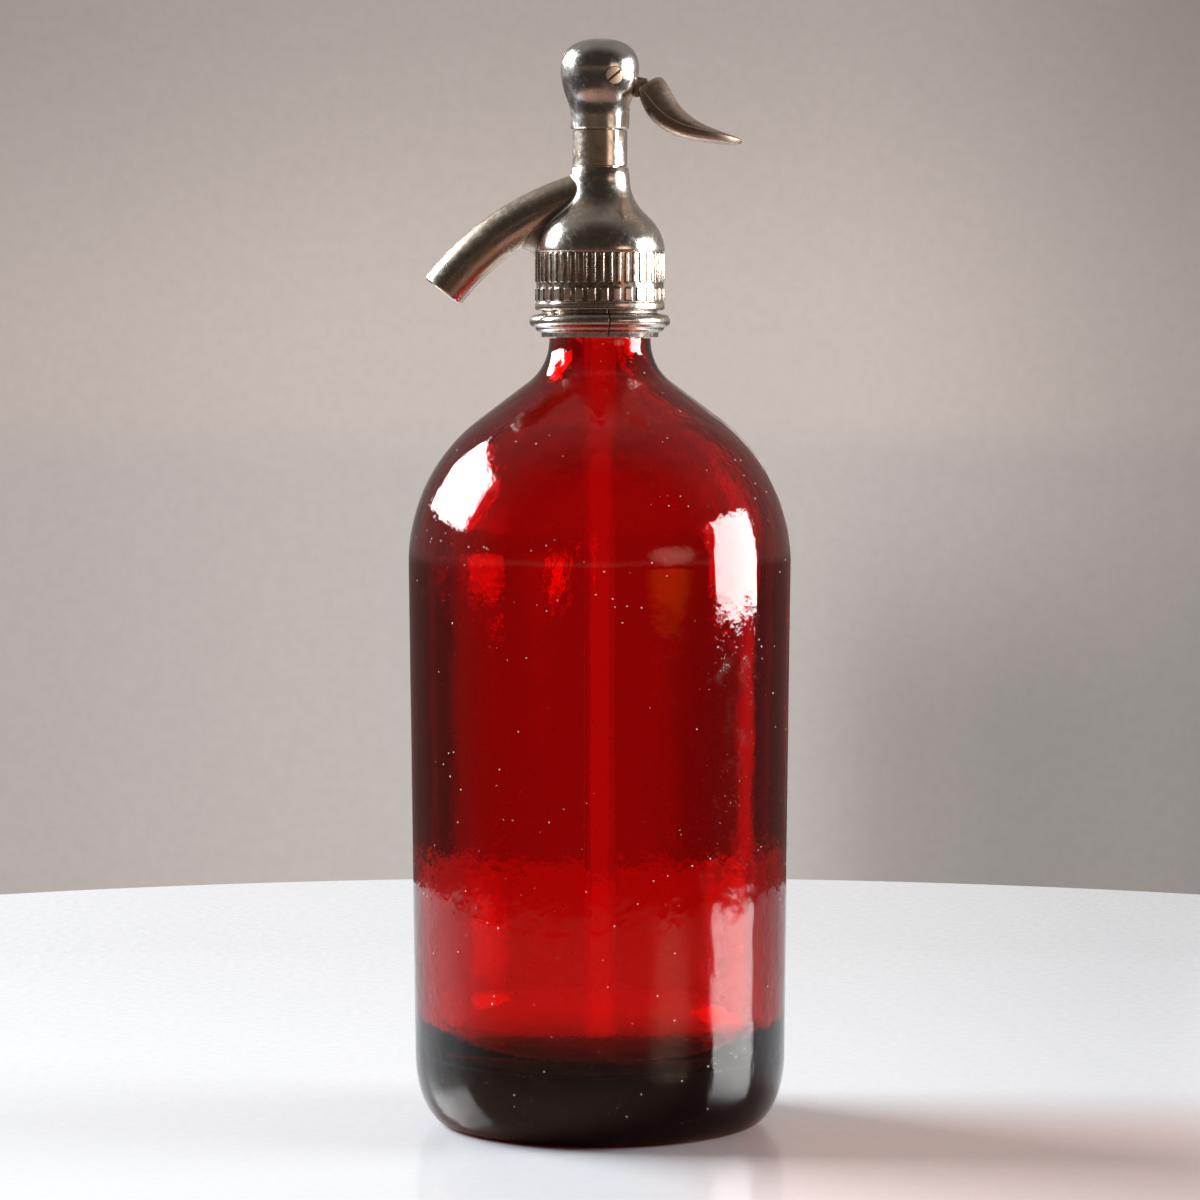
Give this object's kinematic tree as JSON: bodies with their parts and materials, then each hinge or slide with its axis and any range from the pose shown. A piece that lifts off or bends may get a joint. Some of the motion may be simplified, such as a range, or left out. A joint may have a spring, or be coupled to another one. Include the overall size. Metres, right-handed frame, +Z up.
{
  "type": "soda siphon",
  "caption": "Refillable soda siphon: heavy round-shouldered red glass bottle, bell-shaped metal head with curved spout, and a sprung thumb lever that lifts the valve.",
  "frame": {"origin": "on the bottle's axis, in the plane of the foot that the siphon stands on", "axes": "+Z up along the bottle's axis, +X along the thumb lever, -X along the spout, Y along the lever's pivot screw"},
  "size_m": [0.1146, 0.1146, 0.3243],
  "materials": {
    "ruby_glass": "thick ruby-red glass, lightly worn",
    "clear_glass": "clear drawn glass tube",
    "collar_nickel": "worn nickel plate",
    "head_nickel": "worn, pitted nickel plate",
    "spout_nickel": "worn nickel plate over brass",
    "ball_nickel": "polished nickel plate",
    "lever_metal": "tarnished, scratched nickel plate",
    "screw_steel": "turned steel",
    "spring_steel": "bright spring steel",
    "brass": "turned brass",
    "tinned_metal": "tinned",
    "black_rubber": "matte black rubber",
    "red_rubber": "matte red rubber",
    "fibre": "pressed fibre",
    "packing_leather": "greased leather"
  },
  "bodies": {
    "vessel": {"glass_bottle": "ruby_glass", "collar_half_lever_side": "collar_nickel", "collar_half_spout_side": "collar_nickel", "neck_packing": "black_rubber", "mouth_gasket": "red_rubber", "head_casting": "head_nickel", "spout_tube": "spout_nickel", "stem_sleeve": "head_nickel", "ball_cap": "ball_nickel", "pivot_screw": "screw_steel", "valve_seat": "brass", "valve_seat_gasket": "fibre", "dip_tube": "clear_glass", "dip_tube_seal": "red_rubber", "dip_tube_ferrule": "tinned_metal", "dip_tube_union_nut": "brass", "gland_packing": "packing_leather", "gland_nut": "brass", "return_spring": "spring_steel", "spring_washer": "spring_steel"},
    "thumb_lever": {"lever": "lever_metal"},
    "piston": {"piston_rod": "brass", "valve_rubber": "black_rubber", "valve_screw": "brass", "spring_clip": "spring_steel", "spring_follower": "brass"}
  },
  "joints": [
    {"name": "lever_pivot", "type": "hinge", "parent": "vessel", "child": "thumb_lever", "pos_m": [0.0042, 0, 0.31284], "axis": [0, 1, 0], "range_deg": [0, 20], "stiffness_Nm_per_rad": 0.15, "springref_deg": -17.19},
    {"name": "piston_slide", "type": "slide", "parent": "vessel", "child": "piston", "axis": [0, 0, 1], "range_m": [0, 0.0015], "deforming": ["return_spring"]}
  ],
  "couplings": [
    {"joint": "piston_slide", "follows": "lever_pivot", "m_per_rad": 0.0042}
  ]
}
